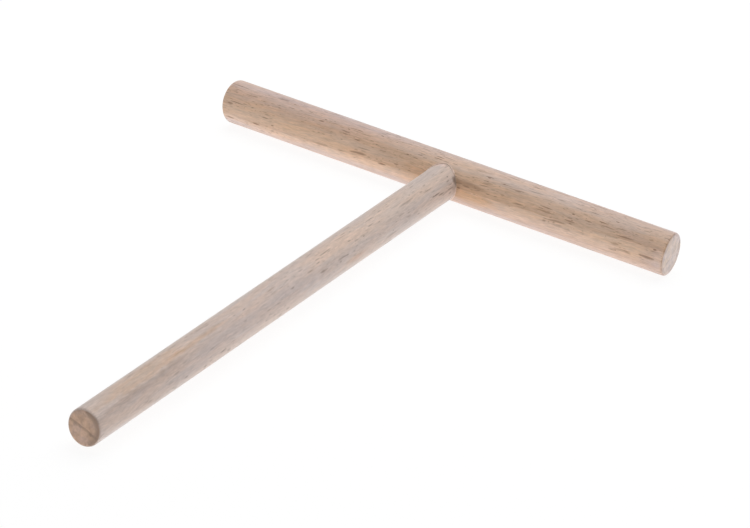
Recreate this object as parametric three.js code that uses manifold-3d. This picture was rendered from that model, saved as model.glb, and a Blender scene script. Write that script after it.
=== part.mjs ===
// A T-shaped batter spreader in beech: a round crossbar, and a thinner round handle whose turned
// tenon is glued into a stepped blind socket in the middle of the bar.
// Millimetres. X runs along the crossbar, the handle points along -Y, +Z is up. The origin is on the
// table, under the middle of the outline.
import * as THREE from "three";
import { mergeVertices } from "three/addons/utils/BufferGeometryUtils.js";
import Module from "manifold-3d";

const wasm = await Module();
wasm.setup();

// The crossbar, a length of dowel with sanded ends
const BAR_DIAMETER = 12;
const BAR_LENGTH = 136;
const BAR_EDGE_RADIUS = 1.1;

// The handle, a thinner dowel. Its length is from the crossbar's axis to its butt face.
const HANDLE_DIAMETER = 10;
const HANDLE_LENGTH = 180;
const HANDLE_EDGE_RADIUS = 0.4;

// The turned tenon on the handle's inner end
const TENON_DIAMETER = 6;
const TENON_CHAMFER = 0.6;

// The socket, drilled square into the crossbar a little to the right of its middle. Its wide step
// goes just deep enough to house the handle's whole round, so that only the saddle-shaped seam
// shows, and the step's wall is still this high where the bar's surface falls away most. The narrow
// bore's depth is measured from the crown of the bar, and the drill's point leaves a pit in its floor.
const SOCKET_OFFSET = 0.8;
const STEP_LEAST_WALL = 0.3;
const SOCKET_DEPTH = 9.3;
const PIT_DIAMETER = 1.4;
const PIT_DEPTH = 0.7;

// The clearance round the handle and its tenon, which the glue fills
const GLUE_LINE = 0.15;

// How far a cutter starts outside the wood
const OVERRUN = 2;

// Facets round a dowel, steps in a rounded edge, and numbers in a point
const ROUND_SEGMENTS = 72;
const EDGE_STEPS = 5;
const COORDINATES = 3;

const barRadius = BAR_DIAMETER / 2;
const handleRadius = HANDLE_DIAMETER / 2;
const tenonRadius = TENON_DIAMETER / 2;
const stepRadius = handleRadius + GLUE_LINE;
const boreRadius = tenonRadius + GLUE_LINE;

// Distances from the crossbar's axis, towards the handle's butt
const saddle = Math.sqrt(Math.max(0, barRadius ** 2 - stepRadius ** 2));
const seat = saddle - STEP_LEAST_WALL;
const floor = barRadius - SOCKET_DEPTH;
const shoulder = seat + GLUE_LINE;
const nose = floor + GLUE_LINE;

// The points of a convex quarter round, from its start angle, in a profile of radius and height
function quarterRound(centreRadius, centreHeight, edgeRadius, startAngle) {
  const points = [];
  for (let step = 0; step <= EDGE_STEPS; step++) {
    const angle = startAngle + (step / EDGE_STEPS) * (Math.PI / 2);
    points.push(
      new THREE.Vector2(
        centreRadius + edgeRadius * Math.cos(angle),
        centreHeight + edgeRadius * Math.sin(angle),
      ),
    );
  }
  return points;
}

// A profile of radius and height, turned about Y
function turned(profile) {
  return new THREE.LatheGeometry(profile, ROUND_SEGMENTS);
}

// A closed geometry as a solid that can be cut
function solidOf(geometry) {
  const bare = geometry.index ? geometry.toNonIndexed() : geometry.clone();
  bare.deleteAttribute("normal");
  bare.deleteAttribute("uv");
  const merged = mergeVertices(bare);
  return new wasm.Manifold(
    new wasm.Mesh({
      numProp: COORDINATES,
      vertProperties: merged.attributes.position.array,
      triVerts: new Uint32Array(merged.index.array),
    }),
  );
}

// A solid as a flat-shaded geometry
function geometryOf(solid) {
  const mesh = solid.getMesh();
  const corners = new Float32Array(mesh.numVert * COORDINATES);
  for (let vertex = 0; vertex < mesh.numVert; vertex++) {
    const from = vertex * mesh.numProp;
    const point = mesh.vertProperties.subarray(from, from + COORDINATES);
    corners.set(point, vertex * COORDINATES);
  }
  const shared = new THREE.BufferGeometry();
  shared.setAttribute("position", new THREE.BufferAttribute(corners, COORDINATES));
  shared.setIndex(new THREE.BufferAttribute(mesh.triVerts, 1));
  const geometry = shared.toNonIndexed();
  geometry.computeVertexNormals();
  return geometry;
}

// The crossbar before it is drilled, turned about Y and then laid along X. The joint's centre is at
// the origin, so the bar's own middle lies to the left of it by the socket's offset.
function barBlank() {
  const half = BAR_LENGTH / 2;
  const edge = Math.min(BAR_EDGE_RADIUS, barRadius / 2, half / 2);
  const profile = [
    new THREE.Vector2(0, -half),
    ...quarterRound(barRadius - edge, edge - half, edge, -Math.PI / 2),
    ...quarterRound(barRadius - edge, half - edge, edge, 0),
    new THREE.Vector2(0, half),
  ];
  return turned(profile)
    .rotateZ(-Math.PI / 2)
    .translate(-SOCKET_OFFSET, 0, 0);
}

// What the stepped drill takes out, along the handle's axis from outside the bar to the pit
function socketCutter() {
  const mouth = barRadius + OVERRUN;
  const pitRadius = Math.min(PIT_DIAMETER / 2, boreRadius / 2);
  return turned([
    new THREE.Vector2(0, -mouth),
    new THREE.Vector2(stepRadius, -mouth),
    new THREE.Vector2(stepRadius, -seat),
    new THREE.Vector2(boreRadius, -seat),
    new THREE.Vector2(boreRadius, -floor),
    new THREE.Vector2(pitRadius, -floor),
    new THREE.Vector2(0, PIT_DEPTH - floor),
  ]);
}

// The handle with its rounded butt, its square shoulder and its chamfered tenon
function handleDowel() {
  const edge = Math.min(HANDLE_EDGE_RADIUS, handleRadius / 2);
  const chamfer = Math.min(TENON_CHAMFER, tenonRadius / 2);
  return turned([
    new THREE.Vector2(0, -HANDLE_LENGTH),
    ...quarterRound(
      handleRadius - edge,
      edge - HANDLE_LENGTH,
      edge,
      -Math.PI / 2,
    ),
    new THREE.Vector2(handleRadius, -shoulder),
    new THREE.Vector2(tenonRadius, -shoulder),
    new THREE.Vector2(tenonRadius, -nose - chamfer),
    new THREE.Vector2(tenonRadius - chamfer, -nose),
    new THREE.Vector2(0, -nose),
  ]);
}

// Pale dry beech: the bar warmer, the handle greyer, as two different sticks are
const barWood = new THREE.MeshStandardMaterial({
  color: 0xc8a98d,
  roughness: 0.62,
  metalness: 0,
});
const handleWood = new THREE.MeshStandardMaterial({
  color: 0xc9b6a6,
  roughness: 0.6,
  metalness: 0,
});
const curedGlue = new THREE.MeshStandardMaterial({
  color: 0xd8c39c,
  roughness: 0.4,
  metalness: 0,
});

const blankSolid = solidOf(barBlank());
const cutterSolid = solidOf(socketCutter());
const handleSolid = solidOf(handleDowel());

const crossbar = new THREE.Mesh(
  geometryOf(blankSolid.subtract(cutterSolid)),
  barWood,
);
crossbar.name = "crossbar";

const handle = new THREE.Mesh(geometryOf(handleSolid), handleWood);
handle.name = "handle";

// The cured glue fills what the socket leaves round the handle, and ends flush with the bar
const glueFilm = new THREE.Mesh(
  geometryOf(cutterSolid.intersect(blankSolid).subtract(handleSolid)),
  curedGlue,
);
glueFilm.name = "glue_film";

// The joint's centre in the part's frame: the bar lies on the table, and the outline's middle is
// over the origin
const spreader = new THREE.Group();
spreader.position.set(
  SOCKET_OFFSET,
  (HANDLE_LENGTH - barRadius) / 2,
  barRadius,
);
spreader.add(crossbar, handle, glueFilm);

export default spreader;
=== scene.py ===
# %% [markdown]
# # A T-shaped batter spreader in beech
# Two dowels make this kitchen tool: a 12 mm crossbar that spreads the batter, and a 10 mm handle
# whose end is let into the middle of the bar and glued. The measured model already fixes every
# size. This lesson gives it a modelled surface, real wood and soft studio light, and never moves
# or resizes a part.

# %% Load the measured model
import math
import bpy
from mathutils import Matrix, Vector


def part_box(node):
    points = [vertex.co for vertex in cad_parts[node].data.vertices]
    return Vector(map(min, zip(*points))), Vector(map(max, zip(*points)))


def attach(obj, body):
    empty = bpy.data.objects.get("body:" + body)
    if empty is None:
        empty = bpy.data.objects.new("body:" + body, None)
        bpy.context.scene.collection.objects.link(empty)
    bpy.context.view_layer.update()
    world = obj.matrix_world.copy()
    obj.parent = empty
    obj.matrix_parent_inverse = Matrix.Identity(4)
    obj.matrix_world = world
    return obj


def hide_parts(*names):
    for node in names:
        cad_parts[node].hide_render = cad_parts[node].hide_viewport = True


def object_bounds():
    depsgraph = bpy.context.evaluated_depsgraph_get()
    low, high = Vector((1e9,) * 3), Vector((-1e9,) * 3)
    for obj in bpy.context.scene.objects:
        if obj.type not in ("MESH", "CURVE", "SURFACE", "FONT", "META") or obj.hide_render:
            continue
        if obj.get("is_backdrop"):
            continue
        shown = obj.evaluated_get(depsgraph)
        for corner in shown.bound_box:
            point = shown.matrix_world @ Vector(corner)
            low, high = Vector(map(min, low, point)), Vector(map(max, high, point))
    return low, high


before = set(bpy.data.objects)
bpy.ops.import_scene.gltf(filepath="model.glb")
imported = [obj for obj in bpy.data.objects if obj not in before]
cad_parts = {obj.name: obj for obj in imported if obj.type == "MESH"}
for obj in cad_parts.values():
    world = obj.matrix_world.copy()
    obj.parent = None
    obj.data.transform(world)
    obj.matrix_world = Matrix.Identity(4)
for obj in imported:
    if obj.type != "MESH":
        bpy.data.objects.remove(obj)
cad_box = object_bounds()
print("nodes:", sorted(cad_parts))

# %% [markdown]
# ## Units and sizes
# Blender works in metres and a woodworker in millimetres, so one value turns one into the other.
# The outer sizes are read from the measured nodes, so the modelled pieces can't drift away from
# them. What hides in the joint is named here once, as the drill and the lathe would be set.

# %% Sizes of the two sticks
MM = 0.001

bar_low, bar_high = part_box("crossbar")
handle_low, handle_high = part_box("handle")

BAR_RADIUS = (bar_high.z - bar_low.z) / 2
BAR_CENTRE = (bar_low + bar_high) / 2
BAR_HALF = (bar_high.x - bar_low.x) / 2
HANDLE_RADIUS = (handle_high.x - handle_low.x) / 2
HANDLE_X = (handle_low.x + handle_high.x) / 2
BUTT_Y = handle_low.y
NOSE_Y = handle_high.y

TENON_RADIUS = 3 * MM
TENON_CHAMFER = 0.6 * MM
GLUE_LINE = 0.15 * MM
STEP_LEAST_WALL = 0.3 * MM

STEP_RADIUS = HANDLE_RADIUS + GLUE_LINE
BORE_RADIUS = TENON_RADIUS + GLUE_LINE
SADDLE_DEPTH = math.sqrt(BAR_RADIUS**2 - STEP_RADIUS**2)
SEAT_Y = BAR_CENTRE.y - SADDLE_DEPTH + STEP_LEAST_WALL
SHOULDER_Y = SEAT_Y - GLUE_LINE
SOCKET_FLOOR_Y = NOSE_Y + GLUE_LINE

JOINT = Vector((HANDLE_X, BAR_CENTRE.y, BAR_CENTRE.z))
print("bar", round(2 * BAR_RADIUS / MM, 2), "by", round(2 * BAR_HALF / MM, 2), "mm")
print("handle", round(2 * HANDLE_RADIUS / MM, 2), "mm thick")
print("tenon's shoulder at y", round(SHOULDER_Y / MM, 2), "mm")

# %% [markdown]
# ## Modelling by hand, in code
# Every piece below starts as a primitive and is then worked in edit mode. An operator acts on
# whatever is selected, so small helpers do what a hand does between two tools: one clears the
# selection, one names a fresh piece, and one picks faces or edges by where they are.

# %% Helpers for picking and finishing
ALONG_X = 0
ALONG_Y = 1


def deselect_all():
    if bpy.context.object and bpy.context.object.mode != "OBJECT":
        bpy.ops.object.mode_set(mode="OBJECT")
    bpy.ops.object.select_all(action="DESELECT")


def take(piece):
    deselect_all()
    piece.select_set(True)
    bpy.context.view_layer.objects.active = piece


def named_primitive(name):
    piece = bpy.context.object
    piece.name = name
    piece.data.name = name
    bpy.ops.object.transform_apply(location=True, rotation=True, scale=True)
    return piece


def pick(piece, kind, test):
    take(piece)
    bpy.ops.object.mode_set(mode="EDIT")
    bpy.ops.mesh.select_mode(type=kind)
    bpy.ops.mesh.select_all(action="DESELECT")
    bpy.ops.object.mode_set(mode="OBJECT")
    elements = piece.data.edges if kind == "EDGE" else piece.data.polygons
    for element in elements:
        element.select = test(element)
    bpy.ops.object.mode_set(mode="EDIT")


def finish_editing():
    bpy.ops.object.mode_set(mode="OBJECT")


def apply_modifier(piece, kind, name, **settings):
    take(piece)
    modifier = piece.modifiers.new(name, kind)
    for key, value in settings.items():
        setattr(modifier, key, value)
    bpy.ops.object.modifier_apply(modifier=modifier.name)


def report(piece):
    mesh = piece.data
    mesh.calc_loop_triangles()
    size = [round(length / MM, 2) for length in piece.dimensions]
    print(piece.name, "has", len(mesh.loop_triangles), "triangles and measures", size, "mm")


# %% [markdown]
# ## A stick of dowel
# A dowel is a straight round stick, sawn to length by hand, so its ends are a few degrees out of
# square, and its two rims are eased by sandpaper. It could be a bevelled curve, but a cylinder
# with real rings along it can also carry dents and raised grain. Bisect is the saw: it cuts a
# slightly too long stick through one slanted plane and fills the cut. Then the rim is bevelled, the
# sawn face gets rings by insetting, and the long edges are subdivided twice into short equal steps.

# %% Build a dowel along X or Y
STRAIGHT_WITHIN = 0.01 * MM
LARGEST_SIDE_FACE = 4


def dowel(name, radius, start, end, axis, sides):
    middle = (start + end) / 2
    turn = (0, math.pi / 2, 0) if axis == ALONG_X else (math.pi / 2, 0, 0)
    deselect_all()
    bpy.ops.mesh.primitive_cylinder_add(
        vertices=sides, radius=radius, depth=(end - start).length, location=middle, rotation=turn
    )
    return named_primitive(name)


def pick_cap(piece, axis, high):
    caps = [face for face in piece.data.polygons if len(face.vertices) > LARGEST_SIDE_FACE]
    wanted = (max if high else min)(caps, key=lambda face: face.center[axis]).index
    pick(piece, "FACE", lambda face: face.index == wanted)


def saw_off(piece, point, outward):
    pick(piece, "FACE", lambda face: True)
    bpy.ops.mesh.bisect(plane_co=point, plane_no=outward, use_fill=True, clear_outer=True)
    finish_editing()


def ease_rim(piece, axis, high, edge_radius, steps):
    pick_cap(piece, axis, high)
    bpy.ops.mesh.region_to_loop()
    bpy.ops.mesh.bevel(offset=edge_radius, segments=steps, affect="EDGES", profile=0.5)
    finish_editing()


def ring_face(piece, axis, high, radius, rings):
    pick_cap(piece, axis, high)
    for _ in range(rings):
        bpy.ops.mesh.inset(thickness=radius / (rings + 1))
    bpy.ops.mesh.poke()
    finish_editing()


def cut_into_rings(piece, axis, first_cuts, second_cuts, least_length):
    def runs_along(edge):
        a, b = [piece.data.vertices[index].co for index in edge.vertices]
        reach = abs(a[axis] - b[axis])
        return reach > least_length and (a - b).length - reach < STRAIGHT_WITHIN

    for cuts in (first_cuts, second_cuts):
        pick(piece, "EDGE", runs_along)
        bpy.ops.mesh.subdivide(number_cuts=cuts)
        finish_editing()


# %% [markdown]
# ## The crossbar
# It is the thicker stick. Its left end was sawn twelve degrees askew and hardly sanded, its right
# end three degrees askew and well eased. It is cut into half-millimetre steps.

# %% Model the crossbar's blank
BAR_SIDES = 128
EDGE_STEPS = 6
FACE_RINGS = 8
BAR_CUTS = (14, 14)
BAR_LONG_EDGE = 5 * MM
SAW_SPARE = 3 * MM
LEFT_EDGE = 0.3 * MM
LEFT_CUT_IN = 1.18 * MM
LEFT_CUT_FACES = (-1.0, 0.162, -0.135)
RIGHT_EDGE = 0.8 * MM
RIGHT_CUT_OUT = 0.17 * MM
RIGHT_CUT_FACES = (1.0, 0.052, -0.004)

left_cut = BAR_CENTRE - Vector((BAR_HALF - LEFT_CUT_IN, 0, 0))
right_cut = BAR_CENTRE + Vector((BAR_HALF + RIGHT_CUT_OUT, 0, 0))
spare = Vector((SAW_SPARE, 0, 0))
bar_from = left_cut - spare
bar_to = right_cut + spare
crossbar = dowel("crossbar_dowel", BAR_RADIUS, bar_from, bar_to, ALONG_X, BAR_SIDES)
saw_off(crossbar, left_cut, LEFT_CUT_FACES)
saw_off(crossbar, right_cut, RIGHT_CUT_FACES)
for high, edge_radius in ((False, LEFT_EDGE), (True, RIGHT_EDGE)):
    ease_rim(crossbar, ALONG_X, high, edge_radius, EDGE_STEPS)
    ring_face(crossbar, ALONG_X, high, BAR_RADIUS - edge_radius, FACE_RINGS)
cut_into_rings(crossbar, ALONG_X, *BAR_CUTS, BAR_LONG_EDGE)
report(crossbar)

# %% [markdown]
# ## Not quite a perfect cylinder
# A dowel machine and a hand with sandpaper leave a stick slightly uneven, and dry wood lifts its
# fibres a little. Two Displace modifiers with cloud textures give that: one slow and wide, one
# stretched along the grain. They only press inwards, so the stick never grows past its size.
# An empty with a different scale on each axis stretches the clouds, and goes when its work is done.

# %% Press slow waver and raised grain into a stick
# Each relief's clouds: their length, their width, how deep they press, and their detail
WAVER = (22 * MM, 7 * MM, 0.05 * MM, 1)
RAISED_GRAIN = (14 * MM, 1.3 * MM, 0.025 * MM, 2)


def press_in(piece, axis, relief):
    along, across, depth, detail = relief
    stretch = [across, across, across]
    stretch[axis] = along
    deselect_all()
    bpy.ops.object.empty_add(type="PLAIN_AXES", location=JOINT)
    ruler = bpy.context.object
    ruler.scale = stretch
    bpy.context.view_layer.update()
    clouds = bpy.data.textures.new("clouds", "CLOUDS")
    clouds.noise_scale = 1.0
    clouds.noise_depth = detail
    settings = {"texture": clouds, "texture_coords": "OBJECT", "texture_coords_object": ruler}
    apply_modifier(piece, "DISPLACE", "press_in", strength=depth, mid_level=1.0, **settings)
    deselect_all()
    ruler.select_set(True)
    bpy.ops.object.delete()
    bpy.data.textures.remove(clouds)


press_in(crossbar, ALONG_X, WAVER)
press_in(crossbar, ALONG_X, RAISED_GRAIN)
report(crossbar)

# %% [markdown]
# ## A line of squeezed-out glue
# When the handle is pushed home, a little glue comes out round it and dries as a hair-thin bead.
# It follows the saddle-shaped seam, so a flat circle is projected onto the bar while the bar is
# still whole. As a curve the line gets its thickness, and as a mesh again an uneven surface.

# %% Draw the bead round the joint
BEAD_SIDES = 180
BEAD_RADIUS = 0.22 * MM
BEAD_LINE = HANDLE_RADIUS + 0.06 * MM
BEAD_CLEARANCE = 0.02 * MM
BEAD_UNEVEN = (1.6 * MM, 1.6 * MM, 0.1 * MM, 2)
BEAD_ROUNDNESS = 3

deselect_all()
bpy.ops.mesh.primitive_circle_add(
    vertices=BEAD_SIDES,
    radius=BEAD_LINE,
    location=(JOINT.x, JOINT.y - 2 * BAR_RADIUS, JOINT.z),
    rotation=(math.pi / 2, 0, 0),
)
glue_bead = named_primitive("glue_bead")
apply_modifier(
    glue_bead,
    "SHRINKWRAP",
    "lay_on_bar",
    target=crossbar,
    wrap_method="PROJECT",
    use_project_y=True,
    use_positive_direction=True,
    use_negative_direction=False,
    offset=BEAD_CLEARANCE,
)
bpy.ops.object.convert(target="CURVE")
glue_bead = bpy.context.object
glue_bead.data.bevel_depth = BEAD_RADIUS
glue_bead.data.bevel_resolution = BEAD_ROUNDNESS
bpy.ops.object.convert(target="MESH")
glue_bead = bpy.context.object
press_in(glue_bead, ALONG_Y, BEAD_UNEVEN)
take(glue_bead)
bpy.ops.object.shade_smooth()
report(glue_bead)

# %% [markdown]
# ## The stepped socket
# The handle goes into a blind hole with a step: a shallow wide seat for the handle's whole round,
# and a narrow bore for its tenon. Inset and extrude make the shape of the drill that would cut it,
# and a Boolean modifier does the drilling, which leaves the saddle-shaped edge of a real drill.

# %% Drill the socket
DRILL_SIDES = 112
OVERRUN = 2 * MM
PIT_RADIUS = 0.7 * MM
PIT_DEPTH = 0.7 * MM
SMOOTH_ANGLE = math.radians(35)


def step_down(piece, step, length):
    pick_cap(piece, ALONG_Y, True)
    bpy.ops.mesh.inset(thickness=step)
    bpy.ops.mesh.extrude_region_move(TRANSFORM_OT_translate={"value": (0, length, 0)})
    finish_editing()


drill_start = Vector((JOINT.x, JOINT.y - BAR_RADIUS - OVERRUN, JOINT.z))
drill_seat = Vector((JOINT.x, SEAT_Y, JOINT.z))
drill = dowel("drill", STEP_RADIUS, drill_start, drill_seat, ALONG_Y, DRILL_SIDES)
step_down(drill, STEP_RADIUS - BORE_RADIUS, SOCKET_FLOOR_Y - SEAT_Y)
step_down(drill, BORE_RADIUS - PIT_RADIUS, PIT_DEPTH)
pick_cap(drill, ALONG_Y, True)
bpy.ops.mesh.merge(type="COLLAPSE")
finish_editing()
drilling = {"operation": "DIFFERENCE", "solver": "EXACT", "object": drill}
apply_modifier(crossbar, "BOOLEAN", "drilling", **drilling)
deselect_all()
drill.select_set(True)
bpy.ops.object.delete()
take(crossbar)
bpy.ops.object.shade_smooth_by_angle(angle=SMOOTH_ANGLE)
report(crossbar)

# %% [markdown]
# ## The handle
# The thinner dowel has a butt sawn five degrees askew, with a softly eased rim, and a turned
# tenon on its other end. The tenon is the end face, inset and extruded, as if the lathe had cut
# the shoulder back.

# %% Model the handle
HANDLE_SIDES = 112
HANDLE_CUTS = (17, 15)
HANDLE_LONG_EDGE = 9 * MM
BUTT_EDGE = 0.8 * MM
BUTT_CUT_IN = 0.06 * MM
BUTT_CUT_FACES = (-0.0695, -1.0, 0.0633)

butt_cut = Vector((JOINT.x, BUTT_Y + BUTT_CUT_IN, JOINT.z))
handle_start = butt_cut - Vector((0, SAW_SPARE, 0))
shoulder = Vector((JOINT.x, SHOULDER_Y, JOINT.z))
handle = dowel("handle_dowel", HANDLE_RADIUS, handle_start, shoulder, ALONG_Y, HANDLE_SIDES)
saw_off(handle, butt_cut, BUTT_CUT_FACES)
ease_rim(handle, ALONG_Y, False, BUTT_EDGE, EDGE_STEPS)
ring_face(handle, ALONG_Y, False, HANDLE_RADIUS - BUTT_EDGE, FACE_RINGS)
cut_into_rings(handle, ALONG_Y, *HANDLE_CUTS, HANDLE_LONG_EDGE)
press_in(handle, ALONG_Y, WAVER)
press_in(handle, ALONG_Y, RAISED_GRAIN)
report(handle)

# %% Turn the tenon
CHAMFER_STEPS = 1

step_down(handle, HANDLE_RADIUS - TENON_RADIUS, NOSE_Y - SHOULDER_Y)
ease_rim(handle, ALONG_Y, True, TENON_CHAMFER, CHAMFER_STEPS)
take(handle)
bpy.ops.object.shade_smooth_by_angle(angle=SMOOTH_ANGLE)
report(handle)

# %% [markdown]
# ## Reading wood as a solid
# Paint lies on a surface, but the pattern of wood runs through the whole stick. Each material reads
# the point's own place in the stick, in millimetres, and every effect is worked out in three
# directions: along the grain, outward from the pith of the tree, and around it. An effect that both
# sticks share is a shader node group, built once. The helpers below keep the groups short. A Mix
# node has sockets of one name for every kind of value, so they are taken by number.

# %% Helpers for shader nodes
FIRST_NUMBER = 2
SECOND_NUMBER = 3
FIRST_COLOUR = 6
SECOND_COLOUR = 7
MIXED_COLOUR = 2


def feed(socket, value):
    if isinstance(value, bpy.types.NodeSocket):
        socket.id_data.links.new(value, socket)
    else:
        socket.default_value = value


def place(tree, kind, inputs, **settings):
    node = tree.nodes.new("ShaderNode" + kind)
    for key, value in settings.items():
        setattr(node, key, value)
    for key, value in inputs.items():
        feed(node.inputs[key], value)
    return node


def calc(tree, operation, *values, clamp=False):
    node = place(tree, "Math", dict(enumerate(values)), operation=operation, use_clamp=clamp)
    return node.outputs[0]


def vector(tree, operation, *values):
    return place(tree, "VectorMath", dict(enumerate(values)), operation=operation).outputs[0]


def scaled(tree, value, factor):
    return place(tree, "VectorMath", {0: value, "Scale": factor}, operation="SCALE").outputs[0]


def length_of(tree, value):
    return place(tree, "VectorMath", {0: value}, operation="LENGTH").outputs["Value"]


def centred(tree, value):
    return calc(tree, "SUBTRACT", value, 0.5)


def product(tree, first, *others):
    for other in others:
        first = calc(tree, "MULTIPLY", first, other)
    return first


def split(tree, value):
    return place(tree, "SeparateXYZ", {0: value}).outputs


def joined(tree, x, y, z):
    return place(tree, "CombineXYZ", {0: x, 1: y, 2: z}).outputs[0]


def ramp(tree, value, low, high, to_low=0.0, to_high=1.0):
    inputs = {0: value, 1: low, 2: high, 3: to_low, 4: to_high}
    return place(tree, "MapRange", inputs, interpolation_type="SMOOTHSTEP").outputs[0]


def clouds(tree, point, stretch, detail, roughness=0.5):
    spread = vector(tree, "DIVIDE", point, stretch)
    inputs = {"Vector": spread, "Scale": 1.0, "Detail": detail, "Roughness": roughness}
    return place(tree, "TexNoise", inputs).outputs


def tint(tree, amount, first, second, blend="MIX"):
    inputs = {0: amount, FIRST_COLOUR: first, SECOND_COLOUR: second}
    node = place(tree, "Mix", inputs, data_type="RGBA", blend_type=blend)
    return node.outputs[MIXED_COLOUR]


def between(tree, amount, first, second):
    inputs = {0: amount, FIRST_NUMBER: first, SECOND_NUMBER: second}
    return place(tree, "Mix", inputs, data_type="FLOAT").outputs[0]


def socket_kind(value):
    numbers = len(value) if isinstance(value, tuple) else 1
    return {1: "NodeSocketFloat", 3: "NodeSocketVector", 4: "NodeSocketColor"}[numbers]


def new_group(name, inputs, outputs):
    tree = bpy.data.node_groups.new(name, "ShaderNodeTree")
    for label, value in inputs.items():
        kind = socket_kind(value)
        socket = tree.interface.new_socket(name=label, in_out="INPUT", socket_type=kind)
        socket.default_value = value
    for label, kind in outputs.items():
        kind = "NodeSocket" + kind
        tree.interface.new_socket(name=label, in_out="OUTPUT", socket_type=kind)
    start = tree.nodes.new("NodeGroupInput").outputs
    end = tree.nodes.new("NodeGroupOutput").inputs
    return tree, start, end


def use_group(tree, name, inputs):
    node = tree.nodes.new("ShaderNodeGroup")
    node.node_tree = bpy.data.node_groups[name]
    for key, value in inputs.items():
        feed(node.inputs[key], value)
    return node.outputs


# %% [markdown]
# ## Along, around and outward
# The pith lies outside such a thin stick, so its rings are nearly flat sheets. The grain also runs
# a little out of line with the stick, wanders, and ripples. This group turns a point in millimetres
# into its place in the tree: X along the grain, Y around the pith and Z outward from it.

# %% Group: directions in the wood
ORIGIN = (0.0, 0.0, 0.0)
MIDDLE_GREY = (0.5, 0.5, 0.5)
WANDER_REACH = (48.0, 26.0, 26.0)
RIPPLE_REACH = (6.0, 1.6, 1.6)


def sway(tree, point, reach, amount):
    drift = clouds(tree, point, reach, 1.0)["Color"]
    return scaled(tree, vector(tree, "SUBTRACT", drift, MIDDLE_GREY), amount)


tree, start, end = new_group(
    "wood_directions",
    {
        "Point": ORIGIN,
        "Pith Across": 0.0,
        "Pith Up": -60.0,
        "Slope Across": 0.0,
        "Slope Up": 0.0,
        "Wander": 0.0,
        "Ripple": 0.0,
    },
    {"Wood": "Vector"},
)
point = start["Point"]
swayed = vector(tree, "ADD", point, sway(tree, point, WANDER_REACH, start["Wander"]))
swayed = vector(tree, "ADD", swayed, sway(tree, point, RIPPLE_REACH, start["Ripple"]))
along, across, up = split(tree, swayed)
across = calc(tree, "MULTIPLY_ADD", along, start["Slope Across"], across)
up = calc(tree, "MULTIPLY_ADD", along, start["Slope Up"], up)
across = calc(tree, "SUBTRACT", across, start["Pith Across"])
up = calc(tree, "SUBTRACT", up, start["Pith Up"])
outward = length_of(tree, joined(tree, 0.0, across, up))
to_pith = length_of(tree, joined(tree, 0.0, start["Pith Across"], start["Pith Up"]))
around = product(tree, calc(tree, "ARCTAN2", up, across), to_pith)
feed(end["Wood"], joined(tree, along, around, outward))
print("group", tree.name, "has", len(tree.nodes), "nodes")

# %% [markdown]
# ## Ray flecks
# The mark of beech is its rays: thin upright sheets of cells that run outward from the pith. Where
# they meet the surface they show as short brown dashes, pointed at both ends, 1 to 5 mm long. Each
# cell of a stretched Voronoi pattern holds one ray. The cell's own random colour decides how long
# and how dark it is and how far it leans.

# %% Group: ray flecks, one ray in each cell
CELL_DISORDER = 0.9
SHORTEST_RAY = 0.12
LONGER_BY = 0.36
TIP_FADE = 0.25

tree, start, end = new_group(
    "ray_flecks",
    {
        "Wood": ORIGIN,
        "Cell": (8.0, 1.1, 1.2),
        "Length": 7.0,
        "Width": 0.35,
        "Sheet": 0.5,
        "Share": 0.5,
        "Flock": 0.8,
        "Lean": 0.05,
        "Soft": 0.07,
    },
    {"Fleck": "Float", "Depth": "Float", "Flock": "Float"},
)
spread = vector(tree, "DIVIDE", start["Wood"], start["Cell"])
scattered = {"Vector": spread, "Scale": 1.0, "Randomness": CELL_DISORDER}
cells = place(tree, "TexVoronoi", scattered).outputs
offset = vector(tree, "SUBTRACT", spread, cells["Position"])
offset = vector(tree, "MULTIPLY", offset, start["Cell"])
off_along, off_around, off_outward = split(tree, offset)
chance, stretch, tilt = split(tree, cells["Color"])
lean = product(tree, centred(tree, tilt), start["Lean"])
off_around = calc(tree, "MULTIPLY_ADD", off_along, lean, off_around)
reach = calc(tree, "MULTIPLY_ADD", product(tree, stretch, stretch), LONGER_BY, SHORTEST_RAY)
near_tip = calc(tree, "DIVIDE", off_along, product(tree, start["Length"], reach))
near_edge = calc(tree, "DIVIDE", off_outward, start["Sheet"])
near = calc(tree, "MULTIPLY_ADD", near_tip, near_tip, product(tree, near_edge, near_edge))
taper = calc(tree, "SUBTRACT", 1.0, near, clamp=True)
half_width = product(tree, start["Width"], 0.5, taper)
inside = calc(tree, "SUBTRACT", half_width, calc(tree, "ABSOLUTE", off_around))
fleck = calc(tree, "DIVIDE", inside, start["Soft"])
fleck = calc(tree, "MULTIPLY_ADD", fleck, 0.5, 0.5, clamp=True)
fleck = product(tree, fleck, ramp(tree, taper, 0.0, TIP_FADE))
print("one ray takes", len(tree.nodes), "nodes")

# %% [markdown]
# ## Flocks of rays
# Not every cell shows its ray. A cloud gathers the dashes in loose flocks, with emptier wood
# between them, and the ground is a little darker where a flock is.

# %% Gather the rays in flocks
FLOCK_REACH = (13.0, 2.6, 6.0)
FLOCK_EDGES = (0.38, 0.62)
DENSEST = 2.0
GROUND_EDGES = (0.4, 0.65)
PALEST_RAY = 0.4

home = vector(tree, "MULTIPLY", cells["Position"], start["Cell"])
flock = clouds(tree, home, FLOCK_REACH, 1.0)["Fac"]
flock = ramp(tree, flock, *FLOCK_EDGES, 0.0, DENSEST)
crowd = between(tree, start["Flock"], 1.0, flock)
here = calc(tree, "LESS_THAN", chance, product(tree, start["Share"], crowd))
feed(end["Fleck"], product(tree, fleck, here))
feed(end["Depth"], calc(tree, "MULTIPLY_ADD", tilt, 1.0 - PALEST_RAY, PALEST_RAY))
ground = clouds(tree, start["Wood"], FLOCK_REACH, 1.0)["Fac"]
feed(end["Flock"], ramp(tree, ground, *GROUND_EDGES))
print("group", tree.name, "has", len(tree.nodes), "nodes")

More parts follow.
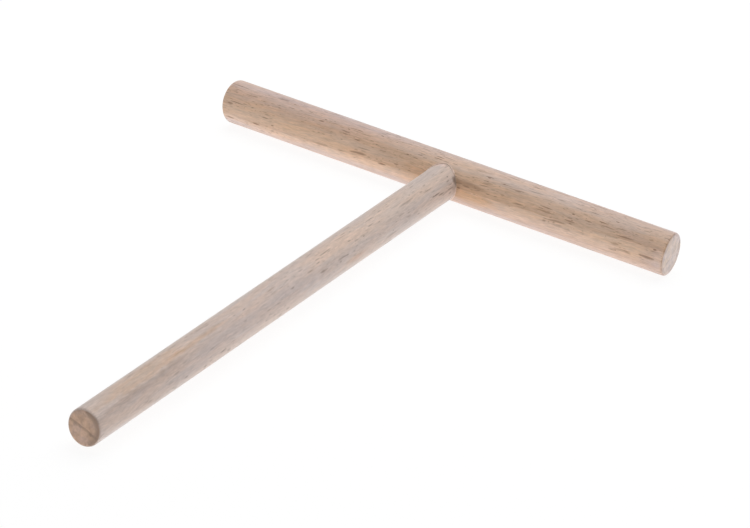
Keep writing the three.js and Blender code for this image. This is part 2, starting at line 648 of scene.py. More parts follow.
# %% [markdown]
# ## Growth rings
# A year's growth ends in a slightly darker line, so ring lines are sheets at even steps outward
# from the pith: a saw-tooth on the outward distance. Each year also has a tone of its own.

# %% Group: growth rings
RING_WAVER = (50.0, 9.0, 5.0)
LATE_POWER = 3.0
LATE_ENDS = 0.94
LINE_AT = 0.95
LINE_EDGES = (0.1, 0.8)

tree, start, end = new_group(
    "growth_rings",
    {"Wood": ORIGIN, "Year": 3.2, "Uneven": 0.3, "Shift": 0.0},
    {"Late": "Float", "Line": "Float", "Year Tone": "Float"},
)
uneven = clouds(tree, start["Wood"], RING_WAVER, 2.0)["Fac"]
years = calc(tree, "DIVIDE", split(tree, start["Wood"])["Z"], start["Year"])
years = calc(tree, "MULTIPLY_ADD", uneven, start["Uneven"], years)
years = calc(tree, "ADD", years, start["Shift"])
phase = calc(tree, "FRACT", years)
growing = calc(tree, "POWER", phase, LATE_POWER)
feed(end["Late"], product(tree, growing, ramp(tree, phase, LATE_ENDS, 1.0, 1.0, 0.0)))
to_line = calc(tree, "ABSOLUTE", calc(tree, "SUBTRACT", phase, LINE_AT))
to_line = product(tree, to_line, start["Year"])
feed(end["Line"], ramp(tree, to_line, *LINE_EDGES, 1.0, 0.0))
whole_years = {"W": calc(tree, "FLOOR", years)}
year_tone = place(tree, "TexWhiteNoise", whole_years, noise_dimensions="1D")
feed(end["Year Tone"], year_tone.outputs["Value"])
print("group", tree.name, "has", len(tree.nodes), "nodes")

# %% [markdown]
# ## Fibres
# Between the rings the fibres make long, faint streaks, which are clouds stretched along the
# grain: slow ones for the hue, broad and fine ones for the shade, and hair-thin ones for pores.

# %% Group: fibres
FIBRE_CLOUDS = {
    "Hue": ((24.0, 2.6, 2.6), 3.0, 0.6),
    "Broad": ((11.0, 0.9, 0.9), 2.0, 0.55),
    "Fine": ((2.8, 0.34, 0.34), 2.0, 0.6),
}
PORE_SIZE = (1.4, 0.09, 0.09)
PORE_EDGES = (0.62, 0.78)

tree, start, end = new_group(
    "fibres",
    {"Wood": ORIGIN},
    {"Hue": "Float", "Broad": "Float", "Fine": "Float", "Pores": "Float"},
)
for label, (size, detail, roughness) in FIBRE_CLOUDS.items():
    feed(end[label], clouds(tree, start["Wood"], size, detail, roughness)["Fac"])
pores = clouds(tree, start["Wood"], PORE_SIZE, 1.0)["Fac"]
feed(end["Pores"], ramp(tree, pores, *PORE_EDGES))
print("group", tree.name, "has", len(tree.nodes), "nodes")

# %% [markdown]
# ## Soft patches
# Both sticks have places of another tone, where a hand or a board rubbed, and the same soft patches
# carry painted light and painted shade. A patch is long and soft round one point, with an edge that
# frays along the grain.

# %% Group: soft patch
FRAY_SIZE = (5.0, 1.1, 1.1)
STAIN_EDGES = (0.3, 1.15)

tree, start, end = new_group(
    "soft_patch",
    {"Point": ORIGIN, "Centre": ORIGIN, "Reach": (5.0, 5.0, 5.0), "Fray": 1.2},
    {"Mask": "Float"},
)
apart = vector(tree, "SUBTRACT", start["Point"], start["Centre"])
distance = length_of(tree, vector(tree, "DIVIDE", apart, start["Reach"]))
frayed = centred(tree, clouds(tree, start["Point"], FRAY_SIZE, 2.0)["Fac"])
distance = calc(tree, "MULTIPLY_ADD", frayed, start["Fray"], distance)
feed(end["Mask"], ramp(tree, distance, *STAIN_EDGES, 1.0, 0.0))
print("group", tree.name, "has", len(tree.nodes), "nodes")

# %% [markdown]
# ## A worn rim
# The rim of a sawn end picks up dirt, but seldom all the way round. The mask is a ring round the
# edge of the flat face, which is strongest on one side and patchy.

# %% Group: worn rim
ACROSS_STICK = (0.0, 1.0, 1.0)
GRIME_SIZE = (0.9, 0.9, 0.9)
PATCHY = 1.2
ONE_SIDED = 0.45

tree, start, end = new_group(
    "worn_rim",
    {"Point": ORIGIN, "Radius": 4.2, "Band": 0.8, "Side": (0.0, 0.6, 0.6), "Dirt": 0.5},
    {"Mask": "Float"},
)
across_stick = vector(tree, "MULTIPLY", start["Point"], ACROSS_STICK)
from_ring = calc(tree, "SUBTRACT", length_of(tree, across_stick), start["Radius"])
from_ring = calc(tree, "ABSOLUTE", calc(tree, "DIVIDE", from_ring, start["Band"]))
near_rim = ramp(tree, from_ring, 0.0, 1.0, 1.0, 0.0)
sides = {0: across_stick, 1: start["Side"]}
toward = place(tree, "VectorMath", sides, operation="DOT_PRODUCT").outputs["Value"]
toward = calc(tree, "DIVIDE", toward, start["Radius"])
uneven = centred(tree, clouds(tree, start["Point"], GRIME_SIZE, 2.0)["Fac"])
toward = calc(tree, "MULTIPLY_ADD", uneven, PATCHY, toward)
feed(end["Mask"], product(tree, near_rim, ramp(tree, toward, 0.0, ONE_SIDED), start["Dirt"]))
print("group", tree.name, "has", len(tree.nodes), "nodes")

# %% [markdown]
# ## Beech, put together
# One more group lays the effects over each other the way they sit in the wood. Its sockets are the
# tones and amounts in which the two sticks differ. It starts with the masks of the groups above,
# and takes the rays in three sizes.

# %% Group: beech, its sockets and masks
WHITE = (1.0, 1.0, 1.0, 1.0)
MIDDLING_RAYS = {"Cell": (4.4, 0.7, 0.9), "Length": 4.0, "Width": 0.26, "Sheet": 0.36, "Soft": 0.07}
SMALL_RAYS = {"Cell": (2.2, 0.42, 0.6), "Length": 2.0, "Width": 0.17, "Sheet": 0.25, "Soft": 0.06}
MORE_SMALL_ONES = 1.5

tree, start, end = new_group(
    "beech",
    {
        "Point": ORIGIN,
        "Wood": ORIGIN,
        "End Grain": 0.0,
        "Rim": 0.0,
        "Dirt": 0.0,
        "Warm": WHITE,
        "Cool": WHITE,
        "Ring": WHITE,
        "Ray": WHITE,
        "End": WHITE,
        "Year": 3.2,
        "Shift": 0.0,
        "Rings": 0.5,
        "Fibres": 0.5,
        "Bold Rays": 0.5,
        "Bold Share": 0.5,
        "Flock Tint": 0.1,
        "Faint Rays": 0.3,
        "Faint Share": 0.4,
        "Calm": 0.0,
        "End Line": 0.3,
        "End Shift": 0.0,
    },
    {"Color": "Color", "Roughness": "Float", "Height": "Float"},
)
fibres = use_group(tree, "fibres", {"Wood": start["Wood"]})
ring_place = {"Wood": start["Wood"], "Year": start["Year"], "Shift": start["Shift"]}
rings = use_group(tree, "growth_rings", ring_place)
bold = use_group(tree, "ray_flecks", {"Wood": start["Wood"], "Share": start["Bold Share"]})
share = start["Faint Share"]
middling = use_group(tree, "ray_flecks", {"Wood": start["Wood"], "Share": share, **MIDDLING_RAYS})
share = product(tree, share, MORE_SMALL_ONES)
small = use_group(tree, "ray_flecks", {"Wood": start["Wood"], "Share": share, **SMALL_RAYS})
print("the masks of", tree.name, "take", len(tree.nodes), "nodes")

# %% [markdown]
# ## Ground, rings and pores
# The ground drifts between a warm and a cool tone. Over it lie the tone of each year, the darker
# ground under a flock of rays and the late wood at a ring line, which the broad streaks break up.
# Pores are hair-thin dark dashes.

# %% Lay the ground, the rings and the pores
HUE_EDGES = (0.36, 0.64)
YEAR_TINT = 0.4
BREAK_EDGES = (0.3, 0.6)
BROKEN_LATE = 0.4
PORE_TINT = 0.14

wood = tint(tree, ramp(tree, fibres["Hue"], *HUE_EDGES), start["Warm"], start["Cool"])
whole = ramp(tree, fibres["Broad"], *BREAK_EDGES, BROKEN_LATE, 1.0)
ring_tints = (
    product(tree, rings["Year Tone"], start["Rings"], YEAR_TINT),
    product(tree, bold["Flock"], start["Flock Tint"]),
    product(tree, rings["Late"], whole, start["Rings"]),
)
for amount in ring_tints:
    wood = tint(tree, amount, wood, start["Ring"])
wood = tint(tree, product(tree, fibres["Pores"], PORE_TINT), wood, start["Ray"])
print("with ground and rings", tree.name, "has", len(tree.nodes), "nodes")

# %% [markdown]
# ## Three sizes of ray
# The small and faint rays come first and the bold ones last, on top. A calm place hardly shows any.

# %% Lay the rays
SMALL_ONES_FAINTER = 0.6

lively = calc(tree, "SUBTRACT", 1.0, start["Calm"])
faint = start["Faint Rays"]
fainter = product(tree, faint, SMALL_ONES_FAINTER)
for rays, strength in ((small, fainter), (middling, faint), (bold, start["Bold Rays"])):
    drawn = product(tree, rays["Fleck"], rays["Depth"], strength, lively)
    wood = tint(tree, drawn, wood, start["Ray"])
print("with rays", tree.name, "has", len(tree.nodes), "nodes")

# %% [markdown]
# ## Light and dark fibres
# One fibre throws back more light than the next, so the streaks scale the colour that is there.
# On the eased rim beside a sawn end there are smudges.

# %% Streak it with fibres and smudge the rim
BROAD_SHADE = 0.35
FINE_SHADE = 1.0
SMUDGE_SIZE = (2.2, 2.2, 2.2)
SMUDGE_EDGES = (0.4, 0.65)
SMUDGE_RANGE = (0.05, 0.5)

shade = product(tree, centred(tree, fibres["Broad"]), BROAD_SHADE)
shade = calc(tree, "MULTIPLY_ADD", centred(tree, fibres["Fine"]), FINE_SHADE, shade)
shade = calc(tree, "MULTIPLY_ADD", shade, start["Fibres"], 1.0)
wood = scaled(tree, wood, shade)
smudge = clouds(tree, start["Point"], SMUDGE_SIZE, 3.0, 0.6)["Fac"]
smudge = ramp(tree, smudge, *SMUDGE_EDGES, *SMUDGE_RANGE)
wood = tint(tree, product(tree, start["Rim"], smudge), wood, start["Ray"])
print("with fibres", tree.name, "has", len(tree.nodes), "nodes")

# %% [markdown]
# ## The sawn ends
# End grain is duller than the long grain. It shows the ring lines as dark arcs, with olive patches
# and a fine mottle, and its rim holds dirt.

# %% Lay the sawn ends
OLIVE_PATCH = (1.0, 0.97, 0.9, 1.0)
PATCH_SIZE = (2.6, 2.6, 2.6)
PATCH_EDGES = (0.4, 0.6)
MOTTLE_SIZE = (1.3, 1.3, 1.3)
MOTTLE_DEPTH = 1.0
MOTTLE_MIDDLE = 1.03
SMALL_WAVER = 0.04

end_place = {**ring_place, "Shift": start["End Shift"], "Uneven": SMALL_WAVER}
line = use_group(tree, "growth_rings", end_place)["Line"]
sawn = tint(tree, product(tree, line, start["End Line"]), start["End"], start["Ray"])
patches = clouds(tree, start["Point"], PATCH_SIZE, 1.0)["Fac"]
sawn = tint(tree, ramp(tree, patches, *PATCH_EDGES), sawn, OLIVE_PATCH, "MULTIPLY")
mottle = centred(tree, clouds(tree, start["Point"], MOTTLE_SIZE, 3.0, 0.65)["Fac"])
mottle = calc(tree, "MULTIPLY_ADD", mottle, MOTTLE_DEPTH, MOTTLE_MIDDLE)
wood = tint(tree, start["End Grain"], wood, scaled(tree, sawn, mottle))
feed(end["Color"], tint(tree, start["Dirt"], wood, start["Ray"]))
print("with sawn ends", tree.name, "has", len(tree.nodes), "nodes")

# %% [markdown]
# ## Roughness and relief
# Dry beech is dull, and its end grain is duller still. Fine fibres stand up a little, and pores and
# rays lie a little deeper than the wood round them.

# %% Work out the roughness and the height
LONG_GRAIN_ROUGH = 0.5
FIBRE_ROUGH = 0.12
END_ROUGH = 0.2
FIBRE_HEIGHT = 0.5
PORE_HEIGHT = -0.5
RAY_HEIGHT = -0.4

rough = calc(tree, "MULTIPLY_ADD", fibres["Fine"], FIBRE_ROUGH, LONG_GRAIN_ROUGH)
feed(end["Roughness"], calc(tree, "MULTIPLY_ADD", start["End Grain"], END_ROUGH, rough))
height = product(tree, fibres["Fine"], FIBRE_HEIGHT)
height = calc(tree, "MULTIPLY_ADD", fibres["Pores"], PORE_HEIGHT, height)
feed(end["Height"], calc(tree, "MULTIPLY_ADD", bold["Fleck"], RAY_HEIGHT, height))
print("group", tree.name, "has", len(tree.nodes), "nodes")

# %% [markdown]
# ## Tones of the stains, painted light and painted shade
# A tone multiplies the colour of the wood under it. Numbers above one make it paler, numbers below
# one darker, and a larger blue number makes it greyer. The last three numbers say how much the edge
# of a stain frays.

# %% Tones and edges
def colour(red, green, blue):
    return (red, green, blue, 1.0)


# Painted warm light, bounced between bar and handle beside the joint
PAINTED_BOUNCE_WARMTH = colour(0.96, 0.84, 0.68)
# Rubbed streaks on the grip; at the joint the same tone is painted shade
RUBBED_AND_PAINTED_SHADE = colour(0.8, 0.78, 0.77)
TANNED = colour(0.93, 0.85, 0.75)
REDDENED = colour(0.95, 0.84, 0.76)
CRACKED = colour(0.36, 0.33, 0.32)
# Painted shade: the dark band where top light and light from below meet, by the joint
PAINTED_SHADE = colour(0.72, 0.69, 0.67)
# Painted shade in the corner on the right of the joint
PAINTED_CORNER_SHADE = colour(0.42, 0.36, 0.31)
DUSKY = colour(0.89, 0.865, 0.9)
COOLED = colour(0.96, 0.985, 1.04)
DIMMED = colour(0.92, 0.92, 0.92)
# Painted shade on the handle's right side
PAINTED_SIDE_SHADE = colour(0.93, 0.92, 0.92)
# Painted pale light: sheen on the bar's right-half top, its lit front strip, and the handle's top
PAINTED_PALE_LIGHT = colour(1.08, 1.075, 1.08)
# Painted highlight on the rim of the handle's end
PAINTED_HIGHLIGHT = colour(1.18, 1.12, 1.11)
# Painted warm light: the bar's front lit from the table below, and the handle's top
PAINTED_WARM_LIGHT = colour(1.07, 1.035, 0.98)
# A greyer, paler tone: painted sheen on the bar's top, back and underside, and one grey place near
# the right end
WEATHER_AND_SHEEN_GREY = colour(1.0, 1.1, 1.34)
# Painted shade on the bar's back
PAINTED_BACK_SHADE = colour(0.85, 0.81, 0.77)
SANDY = colour(1.04, 0.99, 0.88)
HANDLED = colour(0.93, 0.945, 1.0)
DUSTED = colour(1.12, 1.14, 1.18)
TORN = 1.8
FRAYED = 1.2
CLEAN = 0.3
print("the most frayed edge is", TORN, "and the cleanest", CLEAN)

# %% [markdown]
# ## The material of a stick
# A Mapping node lays the grain along the stick and centres it on the stick's axis, in millimetres.
# How far the surface faces along the stick tells the sawn ends from the long grain. A calm place
# has few rays, places with a painted sheen are greyer and paler on the long grain only, and
# stains, painted light and painted shade lie over it all.
# Dry wood also has short lifted fibres that catch the light, so the shader gets a sheen.

# %% Helpers for a stick's material
PER_MM = (1000.0, 1000.0, 1000.0)
END_GRAIN_EDGES = (0.75, 0.93)
RIM_EDGES = (0.25, 0.7)
DIRT_EDGES = (0.5, 0.95)
FUZZ_ROUGHNESS = 0.3
RELIEF = 0.02 * MM


def spot_mask(tree, point, centre, reach, fray):
    spot = {"Point": point, "Centre": centre, "Reach": reach, "Fray": fray}
    return use_group(tree, "soft_patch", spot)["Mask"]


# Paints a greyer, paler sheen over the given places, on the long grain only
def paint_sheen_tone(tree, point, surface, places, end_grain):
    sheen_mask = 0.0
    for centre, reach in places:
        sheen_mask = calc(tree, "MAXIMUM", sheen_mask, spot_mask(tree, point, centre, reach, CLEAN))
    long_grain = calc(tree, "SUBTRACT", 1.0, end_grain)
    return tint(tree, product(tree, sheen_mask, long_grain), surface, WEATHER_AND_SHEEN_GREY, "MULTIPLY")


def lay_marks(tree, point, surface, rows):
    for centre, reach, fray, tone, strength in rows:
        amount = product(tree, spot_mask(tree, point, centre, reach, fray), strength)
        surface = tint(tree, amount, surface, tone, "MULTIPLY")
    return surface


def beech_material(name, long_axis, shift, turn, grain, look, calm, sheen_places, marks, worn, fuzz):
    material = bpy.data.materials.new(name)
    material.use_nodes = True
    tree = material.node_tree
    where = tree.nodes.new("ShaderNodeTexCoord").outputs
    laid = {"Vector": where["Object"], "Location": shift, "Rotation": turn, "Scale": PER_MM}
    point = place(tree, "Mapping", laid).outputs[0]
    wood = use_group(tree, "wood_directions", {"Point": point, **grain})["Wood"]
    facing = calc(tree, "ABSOLUTE", split(tree, where["Normal"])[long_axis])
    end_grain = ramp(tree, facing, *END_GRAIN_EDGES)
    dirt = use_group(tree, "worn_rim", {"Point": point, **worn})["Mask"]
    masks = {
        "End Grain": end_grain,
        "Rim": ramp(tree, facing, *RIM_EDGES),
        "Dirt": product(tree, dirt, ramp(tree, facing, *DIRT_EDGES)),
        "Calm": spot_mask(tree, point, *calm),
    }
    beech = use_group(tree, "beech", {"Point": point, "Wood": wood, **masks, **look})
    surface = paint_sheen_tone(tree, point, beech["Color"], sheen_places, end_grain)
    shader = tree.nodes["Principled BSDF"]
    feed(shader.inputs["Base Color"], lay_marks(tree, point, surface, marks))
    feed(shader.inputs["Roughness"], beech["Roughness"])
    feed(shader.inputs["Sheen Weight"], fuzz)
    feed(shader.inputs["Sheen Roughness"], FUZZ_ROUGHNESS)
    bump = place(tree, "Bump", {"Height": beech["Height"], "Distance": RELIEF, "Strength": 1.0})
    feed(shader.inputs["Normal"], bump.outputs[0])
    print("material", name, "has", len(marks), "stains and", len(tree.nodes), "nodes")
    return material


# %% [markdown]
# ## The bar's piece of beech
# The bar is warm and full of rays. Its top, back and underside carry a greyer, paler painted sheen,
# its front is calm along one strip, and its back has painted shade. Every place is given by its
# centre and its reach in millimetres: along the stick, across it and up. A mark also has the fray
# of its edge, its tone and its strength.

# %% Material of the bar
BAR_GRAIN = {
    "Pith Across": -27.5,
    "Pith Up": 47.6,
    "Slope Across": -0.02,
    "Slope Up": -0.035,
    "Wander": 2.4,
    "Ripple": 0.5,
}
BAR_LOOK = {
    "Warm": colour(0.76, 0.515, 0.35),
    "Cool": colour(0.71, 0.52, 0.395),
    "Ring": colour(0.47, 0.29, 0.185),
    "Ray": colour(0.235, 0.12, 0.065),
    # The end colour is the end grain's own, made paler to paint the sheen its sawn face shows at a
    # glancing angle
    "End": colour(0.65, 0.545, 0.513),
    "Year": 4.5,
    "Shift": 0.294,
    "Rings": 0.6,
    "Fibres": 0.7,
    "Bold Rays": 0.72,
    "Bold Share": 0.9,
    "Flock Tint": 0.07,
    "Faint Rays": 0.95,
    "Faint Share": 0.4,
    "End Line": 0.15,
    "End Shift": 0.3,
}
BAR_CALM = ((12.0, -5.2, -2.4), (78.0, 2.8, 3.2), 0.8)
# Places of painted sheen: the top, the underside and the back
BAR_PAINTED_SHEEN = (
    ((0.0, 3.5, 5.6), (200.0, 7.5, 4.0)),
    ((0.0, -4.0, -5.0), (200.0, 4.0, 6.0)),
    ((0.0, 4.0, -3.0), (200.0, 7.0, 9.0)),
)
BAR_MARKS = (
    # painted shade on the back, and a painted pale sheen on the top of the right half
    ((0.0, 6.5, -1.0), (200.0, 4.0, 6.5), CLEAN, PAINTED_BACK_SHADE, 1.0),
    ((38.0, 3.0, 5.4), (36.0, 5.0, 3.0), CLEAN, PAINTED_PALE_LIGHT, 0.7),
    # painted warm bounce light on both sides of the joint, and painted shade beside it
    ((-7.0, -5.8, 0.2), (6.0, 3.5, 4.0), FRAYED, PAINTED_BOUNCE_WARMTH, 0.4),
    ((10.0, -6.0, -0.8), (9.0, 3.0, 2.6), FRAYED, PAINTED_BOUNCE_WARMTH, 1.0),
    ((8.6, -5.5, 2.4), (7.0, 1.0, 0.9), FRAYED, PAINTED_SHADE, 1.0),
    ((5.8, -5.6, 1.4), (1.8, 2.0, 2.6), CLEAN, PAINTED_SHADE, 0.8),
    # the upper front, cooler on both halves
    ((-42.0, -2.4, 5.8), (40.0, 5.5, 4.6), CLEAN, DUSKY, 1.0),
    ((38.0, -3.6, 4.8), (36.0, 2.8, 2.6), CLEAN, COOLED, 1.0),
    # the front: painted warm light on the left half; dull, then painted pale light on the right
    ((-34.0, -5.9, -0.9), (48.0, 2.0, 2.4), CLEAN, PAINTED_WARM_LIGHT, 1.0),
    ((26.0, -5.9, 0.4), (20.0, 2.0, 2.2), FRAYED, DIMMED, 0.6),
    ((35.0, -5.9, -0.6), (26.0, 2.0, 2.4), CLEAN, PAINTED_PALE_LIGHT, 0.5),
    # both ends, where hands have held it
    ((69.0, -4.4, 1.0), (1.6, 4.0, 6.5), CLEAN, SANDY, 0.6),
    ((64.8, -5.4, 0.0), (4.0, 3.0, 5.0), CLEAN, HANDLED, 1.0),
    ((67.0, -5.6, 1.0), (2.4, 3.0, 4.0), CLEAN, WEATHER_AND_SHEEN_GREY, 0.4),
    ((-65.0, -4.0, 4.2), (7.0, 4.0, 4.0), CLEAN, HANDLED, 0.8),
    # dull places along the upper front
    ((-14.0, -4.6, 3.8), (9.0, 2.6, 2.6), FRAYED, DIMMED, 1.0),
    ((21.0, -3.8, 4.5), (8.0, 2.6, 2.6), FRAYED, DIMMED, 0.9),
    ((60.0, -4.6, 3.6), (6.0, 2.6, 2.6), FRAYED, HANDLED, 1.0),
)
BAR_WORN = {
    "Radius": (BAR_RADIUS - RIGHT_EDGE) / MM,
    "Side": (0.0, -0.7, 0.2),
    "Band": 0.8,
    "Dirt": 0.1,
}
BAR_FUZZ = 0.5

bar_wood = beech_material(
    "beech_bar",
    long_axis=ALONG_X,
    shift=(0.0, -JOINT.y / MM, -JOINT.z / MM),
    turn=(0.0, 0.0, 0.0),
    grain=BAR_GRAIN,
    look=BAR_LOOK,
    calm=BAR_CALM,
    sheen_places=BAR_PAINTED_SHEEN,
    marks=BAR_MARKS,
    worn=BAR_WORN,
    fuzz=BAR_FUZZ,
)

# %% [markdown]
# ## The handle's piece of beech
# The handle was cut from another board, greyer and quieter, and calm towards its butt. Along it,
# places are measured from the middle of the tool: the butt is at 93 and the joint near -81. It is
# more handled than the bar, so it has more fuzz, and its butt has a ring line and a dirty rim.

# %% Material of the handle
HANDLE_GRAIN = {
    "Pith Across": -17.4,
    "Pith Up": -67.8,
    "Slope Across": 0.01,
    "Slope Up": 0.015,
    "Wander": 2.0,
    "Ripple": 0.4,
}
HANDLE_LOOK = {
    "Warm": colour(0.686, 0.545, 0.473),
    "Cool": colour(0.63, 0.536, 0.5),
    "Ring": colour(0.42, 0.29, 0.22),
    "Ray": colour(0.27, 0.19, 0.145),
    "End": colour(0.487, 0.335, 0.258),
    "Year": 5.5,
    "Shift": 0.045,
    "Rings": 0.35,
    "Fibres": 0.6,
    "Bold Rays": 0.6,
    "Bold Share": 0.6,
    "Flock Tint": 0.05,
    "Faint Rays": 0.85,
    "Faint Share": 0.2,
    "End Line": 0.6,
    "End Shift": -0.06,
}
HANDLE_CALM = ((84.0, 2.5, 2.5), (42.0, 6.0, 6.0), 0.8)
HANDLE_MARKS = (
    # the grip, tanned on top with painted warm light on its upper left, and rubbed along its right
    # side
    ((70.0, 1.0, 4.8), (24.0, 2.5, 2.2), FRAYED, TANNED, 1.0),
    ((66.0, -1.2, 4.8), (30.0, 1.7, 1.7), CLEAN, PAINTED_WARM_LIGHT, 1.0),
    ((76.0, 3.3, 3.7), (18.0, 1.1, 1.1), TORN, RUBBED_AND_PAINTED_SHADE, 0.7),
    ((57.0, 2.9, 4.1), (9.0, 0.8, 0.8), TORN, RUBBED_AND_PAINTED_SHADE, 0.6),
    # long soft places: painted light on top, pale in the middle and warm towards the joint; a cool
    # tone and painted shade on the right
    ((5.0, 1.5, 4.6), (75.0, 3.6, 2.4), CLEAN, PAINTED_PALE_LIGHT, 1.0),
    ((-45.0, 1.6, 4.6), (50.0, 4.0, 3.5), CLEAN, PAINTED_WARM_LIGHT, 1.0),
    ((20.0, 4.8, 1.8), (60.0, 2.4, 3.4), CLEAN, COOLED, 0.5),
    ((70.0, 4.9, 0.0), (44.0, 1.6, 2.0), CLEAN, PAINTED_SIDE_SHADE, 1.0),
    # two small brown places
    ((45.0, 1.4, 4.8), (16.0, 1.0, 1.0), FRAYED, TANNED, 1.0),
    ((-29.0, 5.0, 0.4), (6.0, 1.2, 1.0), FRAYED, REDDENED, 0.8),
    # a chip and fine cracks near the joint, and a line of painted shade beside it
    ((-71.1, 4.5, 2.15), (2.2, 0.22, 0.22), CLEAN, CRACKED, 0.9),
    ((-77.0, 4.8, 1.3), (4.0, 0.6, 0.35), CLEAN, PAINTED_SHADE, 0.9),
    ((-79.3, 3.0, 4.0), (0.4, 0.3, 0.3), CLEAN, CRACKED, 0.7),
    ((-58.0, 2.6, 4.3), (4.0, 0.35, 0.35), CLEAN, CRACKED, 0.5),
    # painted shade in the corner on the right of the joint, and a painted highlight on the top left
    # of the handle's end
    ((-81.2, 4.3, 2.6), (1.0, 1.3, 1.5), CLEAN, PAINTED_CORNER_SHADE, 0.9),
    ((-82.6, -2.0, 4.4), (1.3, 4.0, 2.2), CLEAN, PAINTED_HIGHLIGHT, 1.0),
    ((-80.2, 4.9, 0.8), (1.4, 1.0, 1.4), CLEAN, RUBBED_AND_PAINTED_SHADE, 1.0),
    # the butt, dusty below and dull above
    ((93.0, -0.8, -2.4), (1.5, 3.2, 3.0), CLEAN, DUSTED, 1.0),
    ((92.7, -1.0, 3.6), (1.5, 3.6, 2.2), CLEAN, DIMMED, 1.0),
)
HANDLE_WORN = {
    "Radius": (HANDLE_RADIUS - BUTT_EDGE) / MM,
    "Side": (0.0, 0.95, 0.15),
    "Band": 1.5,
    "Dirt": 0.75,
}
HANDLE_FUZZ = 0.75

handle_wood = beech_material(
    "beech_handle",
    long_axis=ALONG_Y,
    shift=(0.0, -JOINT.x / MM, -JOINT.z / MM),
    turn=(0.0, 0.0, math.pi / 2),
    grain=HANDLE_GRAIN,
    look=HANDLE_LOOK,
    calm=HANDLE_CALM,
    sheen_places=(),
    marks=HANDLE_MARKS,
    worn=HANDLE_WORN,
    fuzz=HANDLE_FUZZ,
)

# %% [markdown]
# ## Cured glue
# Dried white glue is pale amber, a little clear and smoother than wood, with dust in it. It is a
# hair's breadth here, so colour and gloss are all that can be seen of it. On the right of the
# handle it carries painted shade.

# %% Material of the glue
CLEAR_AMBER = colour(0.86, 0.67, 0.57)
DULL_AMBER = colour(0.66, 0.5, 0.42)
# The next three values paint shade on the seam to the right of the handle
PAINTED_SEAM_SHADE = colour(0.34, 0.25, 0.19)
SEAM_SHADE_CENTRE = (5.6, 81.5, 8.6)
SEAM_SHADE_REACH = (2.4, 3.0, 2.2)
DUST_SIZE = (0.5, 0.5, 0.5)
DUST_EDGES = (0.35, 0.65)
DUST_ROUGH = 0.3
GLUE_ROUGH = 0.25

glue = bpy.data.materials.new("cured_glue")
glue.use_nodes = True
tree = glue.node_tree
where = tree.nodes.new("ShaderNodeTexCoord").outputs["Object"]
point = place(tree, "Mapping", {"Vector": where, "Scale": PER_MM}).outputs[0]
dust = clouds(tree, point, DUST_SIZE, 3.0)["Fac"]
amber = tint(tree, ramp(tree, dust, *DUST_EDGES), CLEAR_AMBER, DULL_AMBER)
# Painted shade on the seam to the right of the handle
seam_shade = spot_mask(tree, point, SEAM_SHADE_CENTRE, SEAM_SHADE_REACH, CLEAN)
shader = tree.nodes["Principled BSDF"]
feed(shader.inputs["Base Color"], tint(tree, seam_shade, amber, PAINTED_SEAM_SHADE))
feed(shader.inputs["Roughness"], calc(tree, "MULTIPLY_ADD", dust, DUST_ROUGH, GLUE_ROUGH))
bump = place(tree, "Bump", {"Height": dust, "Distance": RELIEF})
feed(shader.inputs["Normal"], bump.outputs[0])
print("material:", glue.name)

# %% [markdown]
# ## Give every piece its place and finish
# The modelled sticks stand for the measured ones. The glue film inside the socket keeps its own
# shape and only gets the glue's material, and the squeezed-out bead belongs to it.

# %% Attach the pieces
def dress(piece, material):
    piece.data.materials.clear()
    piece.data.materials.append(material)
    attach(piece, "root")


dress(crossbar, bar_wood)
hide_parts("crossbar")
dress(handle, handle_wood)
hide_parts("handle")
dress(glue_bead, glue)
glue_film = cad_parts["glue_film"]
for material_slot in glue_film.material_slots:
    material_slot.material = glue
print("glue film has", len(glue_film.material_slots), "material slot")

# %% [markdown]
# ## A white light table
# The spreader lies on its bar. The handle is thinner, so its butt ends a millimetre above the
# table. The table is a white diffusing sheet, lit a little from below, which is what makes the
# lower side of each stick so bright. To the camera and to reflections it is mostly lit by itself,
# so it is white but keeps a soft shadow.

# %% Lay the floor
FLOOR_SIZE = 6.0
SHEET_WHITE = colour(0.75, 0.75, 0.75)
FROM_BELOW = 0.74
SEEN_FROM_BELOW = 0.45
SELF_LIT = 0.8

deselect_all()
bpy.ops.mesh.primitive_plane_add(size=FLOOR_SIZE, location=(0, 0, bar_low.z))
floor = named_primitive("white_table")
floor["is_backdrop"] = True


def to_camera(tree):
    path = tree.nodes.new("ShaderNodeLightPath").outputs
    seen = calc(tree, "MAXIMUM", path["Is Camera Ray"], path["Is Glossy Ray"])
    return calc(tree, "MAXIMUM", seen, path["Is Transmission Ray"])


sheet = bpy.data.materials.new("white_table")
sheet.use_nodes = True
tree = sheet.node_tree
tree.nodes.clear()
matt = place(tree, "BsdfDiffuse", {"Color": SHEET_WHITE})
seen = to_camera(tree)
glow = calc(tree, "MULTIPLY_ADD", seen, SEEN_FROM_BELOW - FROM_BELOW, FROM_BELOW)
backlight = place(tree, "Emission", {"Color": WHITE, "Strength": glow})
lit = place(tree, "AddShader", {0: matt.outputs[0], 1: backlight.outputs[0]})
plain_white = place(tree, "Emission", {"Color": WHITE, "Strength": 1.0})
share = calc(tree, "MULTIPLY", seen, SELF_LIT)
mixed = place(tree, "MixShader", {0: share, 1: lit.outputs[0], 2: plain_white.outputs[0]})
output = tree.nodes.new("ShaderNodeOutputMaterial")
feed(output.inputs["Surface"], mixed.outputs[0])
floor.data.materials.append(sheet)
print("the butt ends", round((handle_low.z - bar_low.z) / MM, 2), "mm above the table")

# %% [markdown]
# ## Soft studio light
# The sticks lie in a white room. The world gives an even light from all sides, one wide lamp
# hangs above, and a second stands low behind, so that the far edges catch a pale sheen. Together
# they light a level face about as brightly as its written colour.

# %% Hang the lamps
LAMPS = (
    {"name": "above", "spot": (-0.12, 0.42, 1.05), "size": 1.2, "power": 8.6},
    {"name": "behind", "spot": (0.3, 1.3, 0.7), "size": 1.0, "power": 1.0},
)
WORLD_LIGHT = 0.3


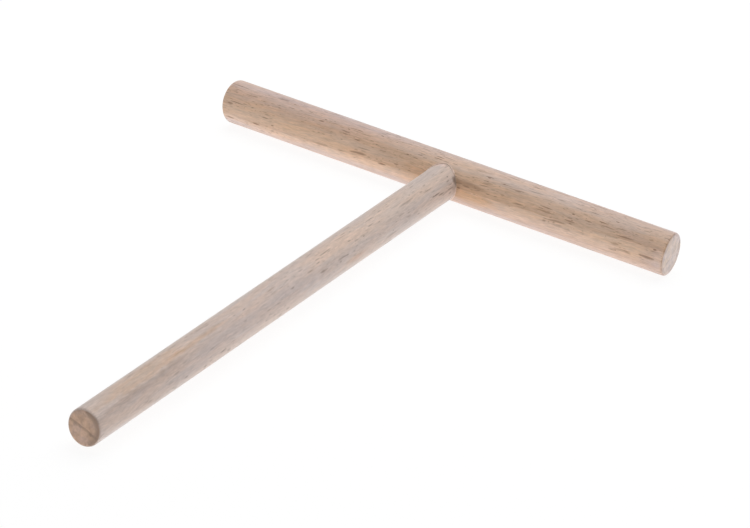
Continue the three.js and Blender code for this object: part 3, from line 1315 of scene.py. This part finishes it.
def hang(name, spot, size, power):
    deselect_all()
    bpy.ops.object.light_add(type="AREA", location=spot)
    lamp = bpy.context.object
    lamp.name = name
    lamp.rotation_euler = (Vector(spot) - JOINT).to_track_quat("Z", "Y").to_euler()
    lamp.data.shape = "SQUARE"
    lamp.data.size = size
    lamp.data.energy = power


for lamp in LAMPS:
    hang(**lamp)

world = bpy.data.worlds.new("studio")
bpy.context.scene.world = world
world.use_nodes = True
tree = world.node_tree
tree.nodes.clear()
room = place(tree, "Background", {"Color": WHITE, "Strength": WORLD_LIGHT})
plain_white = place(tree, "Background", {"Color": WHITE, "Strength": 1.0})
seen = to_camera(tree)
mixed = place(tree, "MixShader", {0: seen, 1: room.outputs[0], 2: plain_white.outputs[0]})
output = tree.nodes.new("ShaderNodeOutputWorld")
feed(output.inputs["Surface"], mixed.outputs[0])
print("lamps:", [lamp["name"] for lamp in LAMPS], "and world", WORLD_LIGHT)

# %% [markdown]
# ## The camera
# The picture was taken from the front right with a long lens, a metre and a half away, and held
# slightly crooked. Azimuth and elevation say where the camera stands round the aimed point, roll
# how far it leans, and the lens is what frames the tool in a 750 by 528 picture.

# %% Set up the camera
AZIMUTH = math.radians(27.414)
ELEVATION = math.radians(27.224)
ROLL = math.radians(6.586)
DISTANCE = 1.41544
AIM = Vector((0.011063, 0.02949, 0.006))
LENS = 262.57

bpy.context.scene.view_settings.view_transform = "Standard"
back = Vector((
    math.sin(AZIMUTH) * math.cos(ELEVATION),
    -math.cos(AZIMUTH) * math.cos(ELEVATION),
    math.sin(ELEVATION),
))
right = Vector((math.cos(AZIMUTH), math.sin(AZIMUTH), 0))
level_up = back.cross(right)
leaning_right = math.cos(ROLL) * right + math.sin(ROLL) * level_up
leaning_up = back.cross(leaning_right)
turn = Matrix((leaning_right, leaning_up, back)).transposed()
deselect_all()
bpy.ops.object.camera_add(location=AIM + back * DISTANCE, rotation=turn.to_euler())
camera = bpy.context.object
camera.data.lens = LENS
bpy.context.scene.camera = camera
print("camera at", [round(value, 3) for value in camera.location])

# %% [markdown]
# ## Check and finish
# The dressed object must still fill the measured box, so both boxes are written side by side.

# %% Write the sizes and finish
new_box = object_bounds()
boxes = {"cad": [list(corner) for corner in cad_box], "visual": [list(corner) for corner in new_box]}
for key, box in boxes.items():
    print(key, "box in mm:", [[round(value / MM, 2) for value in corner] for corner in box])
